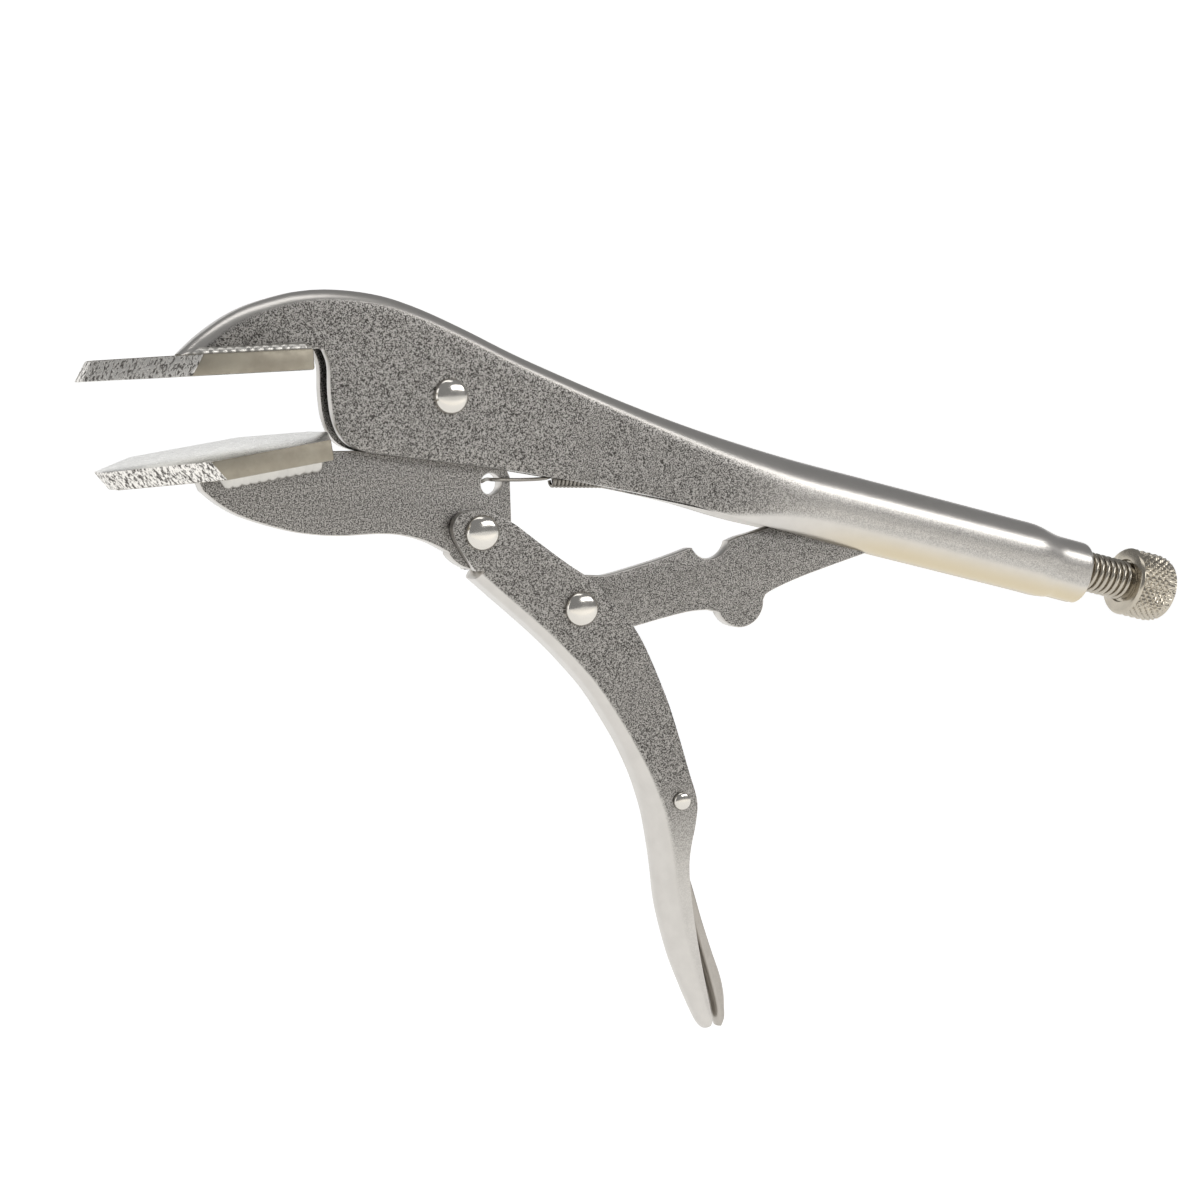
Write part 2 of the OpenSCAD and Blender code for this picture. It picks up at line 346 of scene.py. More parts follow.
def grained_nickel(name, wear_and_painted_reflection=True, pale=(0.60, 0.575, 0.54), dark=(0.06, 0.056, 0.052)):
    """Satin nickel, grainy on its flat faces and smooth round the folds.

    On pieces with wear the grain fades out along the tube and down the grip, and where the tube
    turns under its colour is tinted warm: a painted warm reflection.
    """
    f = Finish(name, pale, 0.38)
    fine = f.noise(3500, 1.5, 0.6)
    coarse = f.noise(1500, 1.0, 0.5)
    grain = f.spread(f.math("ADD", f.math("MULTIPLY", fine, 0.8), f.math("MULTIPLY", coarse, 0.2)),
                     0.37, 0.63)
    flat = f.flatness(0.90, 0.985)
    smooth_part = f.mix(f.spread(f.noise(260, 2.0), 0.3, 0.7), tuple(c * 0.95 for c in pale), pale)
    if wear_and_painted_reflection:
        along = f.split(f.where)
        tube = f.spread(along[0], 0.118, 0.150, 1.0, 0.45)
        grip = f.spread(along[2], -0.122, -0.088, 0.15, 1.0)
        flat = f.math("MULTIPLY", flat, f.math("MULTIPLY", tube, grip))
        # painted warm reflection: faces turned down on the tube are tinted warm in place of the
        # warm light they would reflect
        facing = f.split(f.nodes.new("ShaderNodeNewGeometry").outputs["Normal"])
        under = f.math("MULTIPLY", f.spread(facing[2], -0.85, -0.20, 1.0, 0.0),
                       f.spread(along[0], 0.130, 0.165))
        painted_warm_reflection = tuple(c * w for c, w in zip(pale, (1.0, 0.90, 0.68)))
        smooth_part = f.mix(under, smooth_part, painted_warm_reflection)
    f.colour(f.mix(flat, smooth_part, f.mix(grain, dark, tuple(c * 0.70 for c in pale))))
    f.rough(f.math("ADD", f.math("MULTIPLY", flat, 0.14), 0.29))
    f.bump(f.math("MULTIPLY", grain, f.math("MAXIMUM", flat, 0.30)), 0.030, 0.6)
    return f.material


def plate_face():
    """Warm satin plate, slightly clouded."""
    f = Finish("plate_satin", (0.55, 0.50, 0.42), 0.48)
    cloud = f.noise(120, 4.0)
    f.colour(f.mix(f.spread(cloud, 0.3, 0.7), (0.28, 0.25, 0.20), (0.34, 0.31, 0.25)))
    f.rough(f.spread(f.noise(700, 2.0), 0.3, 0.7, 0.42, 0.55))
    f.bump(f.noise(1300, 2.0), 0.008, 0.5)
    return f.material


def sheared_face():
    """The rough sheared fronts of the plates."""
    f = Finish("plate_sheared", (0.7, 0.68, 0.64), 0.42)
    pits = f.noise(1500, 3.0, 0.7, (1.0, 1.0, 0.5))
    depth = f.spread(pits, 0.39, 0.55)
    f.colour(f.mix(depth, (0.13, 0.12, 0.11), (0.88, 0.85, 0.80)))
    f.rough(f.spread(depth, 0.0, 1.0, 0.65, 0.30))
    f.bump(depth, 0.16, 0.9)
    return f.material


def plain_metal(name, colour, roughness, scale=900, depth=0.006, vary=0.12):
    """A finish with only slight clouding and a fine skin."""
    f = Finish(name, colour, roughness)
    cloud = f.spread(f.noise(scale * 0.25, 3.0), 0.3, 0.7)
    f.colour(f.mix(cloud, tuple(c * (1 - vary) for c in colour), colour))
    f.rough(f.spread(f.noise(scale, 2.0), 0.3, 0.7, roughness * 0.85, roughness * 1.15))
    f.bump(f.noise(scale * 1.6, 2.0), depth, 0.5)
    return f.material


sheet_nickel = grained_nickel("sheet_nickel")
flat_nickel = grained_nickel("flat_nickel", wear_and_painted_reflection=False)
plate_steel = plate_face()
plate_front = sheared_face()
weld_metal = plain_metal("weld_metal", (0.60, 0.58, 0.54), 0.36, 700, 0.02)
rivet_metal = plain_metal("polished_rivet", (0.66, 0.63, 0.58), 0.15, 500, 0.002, 0.06)
screw_metal = plain_metal("screw_nickel", (0.46, 0.42, 0.355), 0.24)
knob_metal = plain_metal("knob_nickel", (0.50, 0.455, 0.38), 0.22)
plate_ground = plain_metal("plate_ground", (0.84, 0.83, 0.80), 0.30)
# painted shade: the release lever's nickel is a darker copy of the sheet nickel, standing in for
# the shade on its walls and slit
release_nickel_painted_shade = grained_nickel("release_nickel_painted_shade", pale=(0.46, 0.43, 0.39),
                                dark=(0.10, 0.095, 0.09))
spring_metal = plain_metal("spring_wire", (0.30, 0.28, 0.25), 0.32)


# ---------------------------------------------------------------- node trees

class Tree:
    """A geometry node tree with named sizes, ending in a realised, painted mesh."""

    def __init__(self, name, sizes):
        self.group = bpy.data.node_groups.new(name, "GeometryNodeTree")
        face = self.group.interface
        face.new_socket("Geometry", in_out="INPUT", socket_type="NodeSocketGeometry")
        self.ids = {}
        for label, value in sizes.items():
            kind = "NodeSocketInt" if isinstance(value, int) else "NodeSocketFloat"
            socket = face.new_socket(label, in_out="INPUT", socket_type=kind)
            socket.default_value = value
            self.ids[label] = socket.identifier
        paint = face.new_socket("Finish", in_out="INPUT", socket_type="NodeSocketMaterial")
        self.ids["Finish"] = paint.identifier
        face.new_socket("Geometry", in_out="OUTPUT", socket_type="NodeSocketGeometry")
        self.size = self.add("NodeGroupInput").outputs

    def add(self, kind, *feeds, **named):
        """A node with these settings, its inputs fed in order."""
        node = self.group.nodes.new(kind)
        for key, value in named.items():
            setattr(node, key, value)
        free = [s for s in node.inputs if s.enabled]
        for socket, value in zip(free, feeds):
            if isinstance(value, bpy.types.NodeSocket):
                self.group.links.new(value, socket)
            else:
                socket.default_value = value
        return node

    def math(self, kind, *feeds):
        return self.add("ShaderNodeMath", *feeds, operation=kind).outputs[0]

    def end(self, geometry):
        real = self.add("GeometryNodeRealizeInstances", geometry)
        smooth_set = self.add("GeometryNodeSetShadeSmooth", real.outputs[0])
        paint = self.add("GeometryNodeSetMaterial")
        self.group.links.new(smooth_set.outputs[0], paint.inputs["Geometry"])
        self.group.links.new(self.size["Finish"], paint.inputs["Material"])
        out = self.add("NodeGroupOutput")
        self.group.links.new(paint.outputs[0], out.inputs[0])
        return self

    def make(self, name, finish, mesh=None, **sizes):
        """A plain mesh object from the tree; wire_radius sets its Wire radius."""
        if mesh is None:
            mesh = add_object(name, bpy.data.meshes.new(name))
        mod = mesh.modifiers.new("tree", "NODES")
        mod.node_group = self.group
        for label, value in sizes.items():
            mod[self.ids[label.replace("_", " ").capitalize()]] = value
        mod[self.ids["Finish"]] = finish
        mesh.name = name
        return bake(mesh)


def coil_tree():
    """Round wire wound on a cylinder about Z: the spring's coils and the thread's crest."""
    t = Tree("wound_wire", {"Turns": 8.0, "Steps": 24, "Radius": 0.0012, "Length": 0.02,
                            "Wire radius": 0.0004, "Wire sides": 8})
    spiral = t.add("GeometryNodeCurveSpiral", t.size["Steps"], t.size["Turns"],
                   t.size["Radius"], t.size["Radius"], t.size["Length"])
    section = t.add("GeometryNodeCurvePrimitiveCircle", mode="RADIUS")
    t.group.links.new(t.size["Wire sides"], section.inputs["Resolution"])
    t.group.links.new(t.size["Wire radius"], section.inputs["Radius"])
    wound = t.add("GeometryNodeCurveToMesh")
    t.group.links.new(spiral.outputs[0], wound.inputs["Curve"])
    t.group.links.new(section.outputs[0], wound.inputs["Profile Curve"])
    wound.inputs["Fill Caps"].default_value = True
    return t.end(wound.outputs[0])


def knurl_tree():
    """Diamond grooves pressed into a turned piece about Z."""
    t = Tree("diamond_knurl", {"Teeth": 32, "Lead": 600.0, "Depth": 0.0004,
                               "Start": 0.001, "Stop": 0.009})
    split = t.add("ShaderNodeSeparateXYZ", t.add("GeometryNodeInputPosition").outputs[0])
    turn = t.math("DIVIDE", t.math("ARCTAN2", split.outputs[1], split.outputs[0]), 2 * math.pi)
    round_part = t.math("MULTIPLY", turn, t.size["Teeth"])
    long_part = t.math("MULTIPLY", split.outputs[2], t.size["Lead"])
    one = t.math("PINGPONG", t.math("ADD", round_part, long_part), 0.5)
    two = t.math("PINGPONG", t.math("SUBTRACT", round_part, long_part), 0.5)
    nearest = t.math("MULTIPLY", t.math("MINIMUM", one, two), 2.6)
    groove = t.math("SUBTRACT", 1.0, t.math("MINIMUM", nearest, 1.0))
    inside = t.math("MULTIPLY",
                    t.math("MULTIPLY", t.math("GREATER_THAN", split.outputs[2], t.size["Start"]),
                           t.math("LESS_THAN", split.outputs[2], t.size["Stop"])),
                    t.math("MULTIPLY", groove, t.size["Depth"]))
    inward = t.add("ShaderNodeVectorMath", operation="SCALE")
    t.group.links.new(t.add("GeometryNodeInputNormal").outputs[0], inward.inputs[0])
    t.group.links.new(t.math("MULTIPLY", inside, -1.0), inward.inputs["Scale"])
    moved = t.add("GeometryNodeSetPosition")
    t.group.links.new(t.size["Geometry"], moved.inputs["Geometry"])
    t.group.links.new(inward.outputs[0], moved.inputs["Offset"])
    return t.end(moved.outputs[0])


def weld_tree():
    """A rippled weld bead laid along X."""
    t = Tree("weld_bead", {"Length": 0.02, "Leg": 0.002, "Ripple": 0.0013, "Swell": 0.12,
                           "Seed": 3.0})
    line = t.add("GeometryNodeCurvePrimitiveLine")
    tip = t.add("ShaderNodeCombineXYZ", t.size["Length"])
    t.group.links.new(tip.outputs[0], line.inputs["End"])
    fine = t.add("GeometryNodeResampleCurve")
    t.group.links.new(line.outputs[0], fine.inputs["Curve"])
    fine.inputs["Count"].default_value = 150
    split = t.add("ShaderNodeSeparateXYZ", t.add("GeometryNodeInputPosition").outputs[0])
    uneven = t.add("ShaderNodeTexNoise", noise_dimensions="4D")
    t.group.links.new(t.add("GeometryNodeInputPosition").outputs[0], uneven.inputs["Vector"])
    t.group.links.new(t.size["Seed"], uneven.inputs["W"])
    uneven.inputs["Scale"].default_value = 420
    phase = t.math("ADD", t.math("DIVIDE", split.outputs[0], t.size["Ripple"]),
                   t.math("MULTIPLY", uneven.outputs[0], 0.9))
    hump = t.math("ABSOLUTE", t.math("SINE", t.math("MULTIPLY", phase, math.pi)))
    wave = t.math("MULTIPLY", hump, t.size["Swell"])
    along = t.math("DIVIDE", split.outputs[0], t.size["Length"])
    ends = t.math("MINIMUM", 1.0, t.math("ADD", 0.35, t.math(
        "MULTIPLY", t.math("MINIMUM", along, t.math("SUBTRACT", 1.0, along)), 14.0)))
    width = t.math("MULTIPLY", t.math("ADD", t.math("ADD", 0.82, wave),
                                      t.math("MULTIPLY", uneven.outputs[0], 0.16)), ends)
    section = t.add("GeometryNodeCurvePrimitiveCircle", mode="RADIUS")
    section.inputs["Resolution"].default_value = 20
    t.group.links.new(t.size["Leg"], section.inputs["Radius"])
    swept = t.add("GeometryNodeCurveToMesh")
    t.group.links.new(fine.outputs[0], swept.inputs["Curve"])
    t.group.links.new(section.outputs[0], swept.inputs["Profile Curve"])
    t.group.links.new(width, swept.inputs["Scale"])
    swept.inputs["Fill Caps"].default_value = True
    return t.end(swept.outputs[0])


wound_wire = coil_tree()
diamond_knurl = knurl_tree()
weld_bead = weld_tree()


# ---------------------------------------------------------------- folded sheet

def folded_sheet(name, stations, thickness, ears=()):
    """A folded sheet, open along one edge.

    Each station is (fold x, fold z, edge x, edge z, half width, fold radius, lower radius,
    turned-in degrees, thickness share). Ears are (left x, z, right x, z, half width) rows
    of flat wall ahead of the first station.
    """
    # points round each fold, up each wall and round each lower edge
    arc_n, wall_n, low_n = 8, 8, 8
    verts, groups, rows = [], [], []
    for s in stations:
        fold, edge = Vector(s[0:2]), Vector(s[2:4])
        half, bend, low, turned = s[4], s[5], s[6], math.radians(max(s[7], 0))
        up = fold - edge
        height = max(up.length, 0.05)
        up = up / height
        rise = min(bend, 0.94 * height)
        bend = min(bend, half)
        path = []
        for k in range(low_n):
            a = turned * (1 - k / low_n)
            path.append((half - low + low * math.cos(a), low * (math.sin(turned) - math.sin(a))))
        foot, brow = low * math.sin(turned), height - rise
        foot = min(foot, brow)
        for k in range(wall_n):
            path.append((half, foot + (brow - foot) * k / wall_n))
        for k in range(arc_n + 1):
            a = math.pi / 2 * k / arc_n
            path.append((half - bend + bend * math.cos(a), brow + rise * math.sin(a)))
        line = [(-y, h) for y, h in path] + [(0.0, height)] + [(y, h) for y, h in reversed(path)]
        rows.append([])
        for y, h in line:
            p = edge + up * h
            rows[-1].append(len(verts))
            verts.append((p.x, y, p.y))
            groups.append(s[8])
    faces = []
    cols = len(rows[0])
    skip = low_n if all(s[7] <= 0 for s in stations) else 0
    for lower, upper in zip(rows, rows[1:]):
        for j in range(skip, cols - 1 - skip):
            faces.append((lower[j], lower[j + 1], upper[j + 1], upper[j]))
    if ears:
        for side in (-1, 1):
            last = [rows[0][low_n + k] if side < 0 else rows[0][cols - 1 - low_n - k]
                    for k in range(wall_n + 1)]
            for e in reversed(ears):
                row = []
                for k in range(wall_n + 1):
                    f = k / wall_n
                    x = e[2] + (e[0] - e[2]) * f
                    z = e[3] + (e[1] - e[3]) * f
                    row.append(len(verts))
                    verts.append((x, side * e[4], z))
                    groups.append(1.0)
                for k in range(wall_n):
                    faces.append((last[k], last[k + 1], row[k + 1], row[k]))
                last = row
    obj = mesh_object(name, verts, faces)
    share = obj.vertex_groups.new(name="share")
    for i, g in enumerate(groups):
        share.add([i], max(min(g, 1.0), 0.0), "REPLACE")
    bm = bmesh.new()
    bm.from_mesh(obj.data)
    loose = [v for v in bm.verts if not v.link_faces]
    bmesh.ops.delete(bm, geom=loose, context="VERTS")
    bmesh.ops.remove_doubles(bm, verts=bm.verts, dist=2e-6)
    bmesh.ops.recalc_face_normals(bm, faces=bm.faces)
    top = max(bm.faces, key=lambda g: g.calc_center_median().z)
    if top.normal.z < 0:
        bmesh.ops.reverse_faces(bm, faces=bm.faces)
    bm.to_mesh(obj.data)
    bm.free()
    wall = obj.modifiers.new("wall", "SOLIDIFY")
    wall.thickness = thickness * MM
    wall.offset = -1
    wall.vertex_group = "share"
    wall.thickness_vertex_group = 0.0
    obj = bake(obj)
    obj.vertex_groups.clear()
    return shade(obj, 45)


def handle_stations():
    """Along the fixed handle, from the stub to the neck's end."""
    rows = [
        # fold x, z, edge x, z, half, bend, low, turned, share
        (1.4, 4.7, 2.0, 4.25, 2.4, 2.2, 4.7, 0, 0.3),
        (3.0, 6.0, 4.0, 4.25, 3.8, 3.0, 4.7, 0, 0.5),
        (6.3, 8.5, 8.0, 4.25, 4.6, 3.2, 4.7, 0, 0.9),
        (11.5, 11.7, 13.0, 4.25, 4.7, 3.2, 4.7, 0, 1),
        (17.0, 14.0, 18.0, 4.25, 4.7, 3.2, 4.7, 0, 1),
        (24.5, 15.8, 24.5, 4.25, 4.7, 3.2, 4.7, 0, 1),
        (29.0, 16.3, 29.0, 4.25, 4.7, 3.2, 4.7, 0, 1),
        (31.5, 16.35, 30.7, 4.2, 4.7, 3.2, 4.7, 0, 1),
        (33.5, 16.3, 31.4, 3.4, 4.7, 3.2, 4.7, 0, 1),
        (36.0, 16.1, 32.1, 0.5, 4.7, 3.2, 4.7, 0, 1),
        (38.5, 15.8, 31.9, -5.0, 4.7, 3.2, 4.7, 0, 1),
        (41.5, 15.3, 32.4, -10.5, 4.7, 3.2, 4.7, 0, 1),
        (45.0, 14.5, 34.3, -14.8, 4.7, 3.2, 4.7, 0, 1),
        (49.0, 13.2, 38.5, -17.2, 4.7, 3.2, 4.7, 0, 1),
        (55.0, 10.7, 46.0, -18.7, 4.7, 3.2, 4.7, 0, 1),
        (63.5, 6.5, 57.0, -20.7, 4.7, 3.3, 4.7, 0, 1),
        (73.5, 1.2, 70.0, -23.2, 4.7, 3.4, 4.7, 0, 1),
        (84.0, -3.8, 80.0, -25.4, 4.75, 3.6, 4.75, 0, 1),
        (95.0, -8.8, 90.0, -27.7, 4.9, 3.9, 4.9, 0, 1),
        (106.0, -13.5, 101.0, -30.5, 5.4, 4.5, 5.4, 0, 1),
        (117.5, -18.0, 112.5, -33.8, 6.2, 5.6, 6.2, 8, 1),
        (129.0, -22.1, 124.4, -37.9, 7.1, 6.8, 7.1, 32, 1),
    ]
    for u, top, low, half, turned, share in (
            (-79, 7.7, -8.4, 7.65, 58, 1), (-66, 7.7, -8.5, 7.7, 71, 1),
            (-53, 7.7, -8.5, 7.7, 74, 1), (-40, 7.7, -8.5, 7.7, 75, 1),
            (-28, 7.7, -8.5, 7.7, 75, 1), (-20, 7.7, -8.5, 7.7, 75, 1),
            (-16, 7.7, -8.5, 7.7, 75, 0.95), (-13.5, 7.45, -8.55, 7.45, 76, 0.8),
            (-11, 6.95, -8.6, 6.95, 77, 0.66), (-9, 6.55, -8.45, 6.55, 78, 0.6),
            (-7, 6.38, -8.1, 6.38, 79, 0.6), (-3, 6.35, -8.1, 6.35, 79, 0.6),
            (-0.6, 6.3, -8.1, 6.3, 79, 0.6), (0, 6.1, -7.9, 6.1, 79, 0.55)):
        rows.append((*on_axis(u, top), *on_axis(u, low), half, half, half, turned, share))
    return smooth(rows, 5)


def lever_stations():
    """Down the lever, from the ears' notch to the tail."""
    return smooth([
        (61.8, -45.8, 72.0, -35.6, 4.5, 2.4, 4.5, 0, 1),
        (66.0, -49.8, 77.2, -39.9, 4.5, 2.4, 4.5, 0, 1),
        (71.0, -54.5, 82.5, -44.1, 4.5, 2.4, 4.5, 0, 1),
        (76.2, -59.6, 88.0, -48.2, 4.5, 2.5, 4.5, 0, 1),
        (81.4, -65.3, 93.2, -54.0, 4.5, 2.6, 4.5, 0, 1),
        (87.0, -72.4, 98.5, -61.2, 4.5, 2.7, 4.5, 0, 1),
        (92.0, -81.0, 103.5, -73.6, 4.6, 2.9, 4.5, 0, 1),
        (94.6, -86.2, 106.0, -82.0, 4.7, 3.1, 4.5, 0, 1),
        (96.8, -92.0, 108.3, -91.6, 5.0, 4.0, 4.5, 0, 1),
        (98.4, -98.0, 109.8, -98.2, 5.3, 4.8, 4.5, 0, 1),
        (99.2, -102.4, 109.2, -103.0, 5.45, 5.2, 4.5, 0, 1),
        (99.9, -108.5, 107.6, -108.9, 5.5, 5.4, 4.5, 0, 1),
        (100.3, -113.0, 107.0, -113.4, 5.5, 5.4, 4.5, 0, 1),
        (100.9, -121.5, 107.2, -120.4, 5.45, 5.4, 4.5, 0, 1),
        (103.2, -132.3, 108.4, -131.0, 5.2, 5.1, 4.5, 0, 0.9),
        (105.8, -139.9, 109.8, -139.4, 4.8, 4.7, 4.5, 0, 0.75),
        (108.0, -145.6, 110.9, -145.2, 4.3, 4.2, 4.5, 0, 0.6),
        (109.4, -148.8, 111.6, -148.2, 3.6, 3.5, 4.5, 0, 0.5),
        (110.4, -150.2, 111.6, -149.6, 2.6, 2.5, 4.5, 0, 0.3),
    ], 5)


LEVER_EARS = smooth([
    (57.6, -32.6, 59.0, -31.5, 4.5), (56.9, -34.6, 61.5, -31.3, 4.5),
    (57.3, -36.8, 64.0, -31.4, 4.5), (58.6, -39.4, 66.8, -32.4, 4.5),
    (60.1, -42.0, 69.2, -33.7, 4.5), (61.5, -44.0, 70.8, -34.7, 4.5)], 4)


def release_stations():
    """Down the release lever, from its head to the tail."""
    return smooth([
        (103.6, -95.4, 108.8, -93.4, 3.0, 1.6, 3.0, 0, 1),
        (103.3, -99.0, 109.0, -98.0, 3.0, 1.6, 3.0, 0, 1),
        (103.8, -106.0, 108.2, -105.5, 3.0, 1.6, 3.0, 0, 1),
        (105.0, -114.0, 108.0, -114.2, 3.0, 1.8, 3.0, 0, 1),
        (107.0, -122.5, 109.3, -122.3, 3.0, 1.9, 3.0, 0, 1),
        (109.0, -130.0, 111.4, -130.4, 3.0, 1.9, 3.0, 0, 1),
        (111.1, -138.0, 113.4, -138.4, 2.95, 1.9, 3.0, 0, 0.9),
        (112.5, -144.0, 114.8, -144.3, 2.8, 1.9, 3.0, 0, 0.8),
        (113.2, -148.0, 115.1, -148.0, 2.4, 1.8, 3.0, 0, 0.6),
        (113.9, -150.2, 114.7, -150.2, 1.5, 1.2, 3.0, 0, 0.4),
    ], 5)


def tongue():
    """The rounded finger pad at the release lever's tail."""
    rows = smooth([
        (107.6, -113.0, 108.2, -112.8, 1.2), (108.2, -119.0, 109.6, -118.6, 2.0),
        (109.4, -125.0, 111.2, -125.6, 2.35), (111.2, -132.0, 113.2, -132.8, 2.4),
        (112.6, -138.0, 115.1, -139.0, 2.4), (113.4, -143.0, 115.7, -143.6, 2.5),
        (113.9, -147.0, 115.4, -147.6, 2.3), (114.2, -149.6, 114.9, -149.8, 1.4)], 5)
    verts, n = [], 20
    for left_x, left_z, right_x, right_z, half in rows:
        cx, cz = (left_x + right_x) / 2, (left_z + right_z) / 2
        dx, dz = (right_x - left_x) / 2, (right_z - left_z) / 2
        for k in range(n):
            a = 2 * math.pi * k / n
            c, s = math.cos(a), math.sin(a)
            c = math.copysign(abs(c) ** 0.75, c)
            s = math.copysign(abs(s) ** 0.6, s)
            verts.append((cx + dx * c, half * s, cz + dz * c))
    faces = grid_faces(len(rows), n, closed=True)
    faces.append(tuple(range(n)))
    faces.append(tuple(range(len(verts) - n, len(verts))))
    return clean(mesh_object("finger_pad", verts, faces))


# ---------------------------------------------------------------- flat blanked pieces

def blanked(name, outline, thickness, holes=(), edge=0.3):
    """A piece blanked from plate, with slightly rounded edges."""
    curve = bpy.data.curves.new(name, "CURVE")
    curve.dimensions = "2D"
    curve.fill_mode = "BOTH"
    curve.extrude = (thickness / 2 - edge) * MM
    curve.bevel_depth = edge * MM
    curve.bevel_resolution = 2
    curve.offset = -edge * MM
    for points in [outline] + [arc(c, r, 0, -360 + 7.5, 47) for c, r in holes]:
        spline = curve.splines.new("POLY")
        spline.points.add(len(points) - 1)
        for p, (x, z) in zip(spline.points, points):
            p.co = (x * MM, z * MM, 0, 1)
        spline.use_cyclic_u = True
    obj = bake(add_object(name, curve))
    obj.data.transform(Matrix.Rotation(math.pi / 2, 4, "X"))
    return clean(obj, angle=50)


def under_plate(x):
    """The height of the lower plate's underside at this x."""
    return (LOWER_AT[1] - PLATE_T / math.cos(LOWER_TILT)
            + (x - LOWER_AT[0]) * math.tan(LOWER_TILT))


def jaw_outline():
    """Down the lower jaw's belly, round the lever's rivet, up the neck and back."""
    lower = smooth([(4.4, -23.2), (8, -26.4), (12.6, -29.2), (20, -32), (26, -33.6), (33, -34.5),
                    (41, -34.7), (46.5, -35.4), (52, -37.2), (56.6, -39.8)], 5)
    neck = arc(LEVER_PIN, 8, -148, 10, 20) + [(71.4, -24.8)]
    back = [(70.6, -23), (66.6, -10.6)] + arc(JAW_PIN, 9.5, -20, 195, 24)
    front = [(44, -15), (39, -17.2), (31, under_plate(31))]
    return [(3.2, under_plate(3.2))] + lower + neck + back + front


def link_outline():
    """Round the toggle link: front end, upper notch, rear end and lower lobe."""
    end = on_axis(-48.8)
    return (arc(LINK_PIN, 7.2, -100, -280)
            + smooth([(92, -47.6), (96, -47), (106, -45), (112.6, -43.3)], 5)
            + arc((117.8, -41.2), 4.8, 205, 345)
            + smooth([(125, -41.6), (130.5, -40.6), (140, -38.6), (152, -37.6), (163, -37.6)], 5)
            + arc(end, 4.5, 80, -100)
            + smooth([(163, -46.6), (157, -47.8), (145, -50.6), (138.8, -52.2), (133.2, -54),
                      (131, -55)], 5)
            + arc((124.6, -56), 5.8, 0, -160)
            + smooth([(116.4, -57.2), (112, -57.2), (106, -58), (99, -59.2), (91, -60.4)], 5))


# ---------------------------------------------------------------- plates

def jaw_plate(name, where):
    """A clamping plate with its clamping face on z = 0 and rough bevelled fronts."""
    half, nose, front, side, back = 32.0, 3.5, -19.0, -4.5, 20.0
    tilt = PLATE_T * math.tan(math.radians(30))
    length = math.hypot(side - front, half - nose)
    nx, ny = (half - nose) / length, (side - front) / length
    # where the inset slanted front meets the inset nose and the straight side
    top_nose_y = nose - tilt * (1 - nx) / ny
    top_side_x = side + tilt / nx
    low = [(front, -nose), (side, -half), (back, -half), (28, -6), (28, 6), (back, half),
           (side, half), (front, nose)]
    high = [(front + tilt, -top_nose_y), (top_side_x, -half), (back, -half), (28, -6), (28, 6),
            (back, half), (top_side_x, half), (front + tilt, top_nose_y)]
    verts = [(x, y, 0) for x, y in low] + [(x, y, PLATE_T) for x, y in high]
    n = len(low)
    faces = [tuple(range(n))[::-1], tuple(range(n, 2 * n))]
    faces += [(i, (i + 1) % n, n + (i + 1) % n, n + i) for i in range(n)]
    obj = mesh_object(name, verts, faces)
    for finish in (plate_steel, plate_front, plate_ground):
        obj.data.materials.append(finish)
    # the clamping face is ground, the nose and the slanted fronts are sheared
    obj.data.polygons[0].material_index = 2
    for i in (0, 6, 7):
        obj.data.polygons[2 + i].material_index = 1
    face_outwards(obj)
    obj = soften(obj, 0.45, 2, 20)
    obj.data.transform(where)
    face_outwards(obj)
    return shade(obj, 28)


ON_LOWER_JAW = (Matrix.Translation((LOWER_AT[0] * MM, 0, LOWER_AT[1] * MM))
                @ Matrix.Rotation(-LOWER_TILT, 4, "Y") @ Matrix.Diagonal((1, 1, -1, 1)))


def bead(name, x0, x1, wall, side, where, body, node, seed, tall=1.0):
    """A rippled weld bead between a wall and a plate."""
    obj = weld_bead.make(name, weld_metal, length=(x1 - x0) * MM, leg=1.25 * MM,
                         ripple=1.9 * MM, swell=0.08, seed=seed)
    obj.data.transform(where @ Matrix.Translation((x0 * MM, side * (wall + 0.35) * MM,
                                                   (PLATE_T + 0.3) * MM))
                       @ Matrix.Diagonal((1, 1, tall, 1)))
    clean(obj, merge=False)
    return place(obj, body, weld_metal, [node])


# ---------------------------------------------------------------- rivets

def rivet(name, pin, shank, head, dome, stack, body, node):
    """A domed rivet across the tool, with a small shoulder under each head."""
    r, half = head / 2, stack / 2
    cap = [(r * math.sin(math.radians(a)) ** 0.9 if a else 0.0,
            half + 0.25 + (dome - 0.25) * math.cos(math.radians(a)) ** 0.85 if a < 90
            else half + 0.25) for a in range(0, 91, 9)]
    profile = cap + [(r, half), (shank / 2, half)]
    profile += [(rad, -h) for rad, h in reversed(profile)]
    turn = Matrix.Translation((pin[0] * MM, 0, pin[1] * MM)) @ Matrix.Rotation(math.pi / 2, 4, "X")
    obj = lathe(name, profile, 56, turn)
    return place(obj, body, rivet_metal, [node])


# ---------------------------------------------------------------- the pliers

handle = folded_sheet("folded_handle", handle_stations(), SHEET_T)
handle = shade(soften(handle, EDGE, 2, 50), 45)
place(handle, "fixed_handle", sheet_nickel, ["fixed_handle"])

lever = folded_sheet("folded_lever", lever_stations(), LEVER_T, LEVER_EARS)
lever = shade(soften(lever, EDGE, 2, 50), 45)
place(lever, "lever_handle", sheet_nickel, ["lever_handle"])

channel = folded_sheet("release_channel", release_stations(), 1.1)
release = join("release_tab", [channel, tongue()])
shade(release, 45)
place(release, "release_lever", release_nickel_painted_shade, ["release_lever"])

jaw = blanked("blanked_jaw", jaw_outline(), JAW_T, [(SPRING_HOLE, 2.3)])
place(jaw, "lower_jaw", flat_nickel, ["lower_jaw"])
link = blanked("blanked_link", link_outline(), LINK_T)
place(link, "toggle_link", flat_nickel, ["toggle_link"])

place(jaw_plate("upper_pad", Matrix.Identity(4)), "fixed_handle", None,
      ["upper_plate"])
place(jaw_plate("lower_pad", ON_LOWER_JAW), "lower_jaw", None, ["lower_plate"])

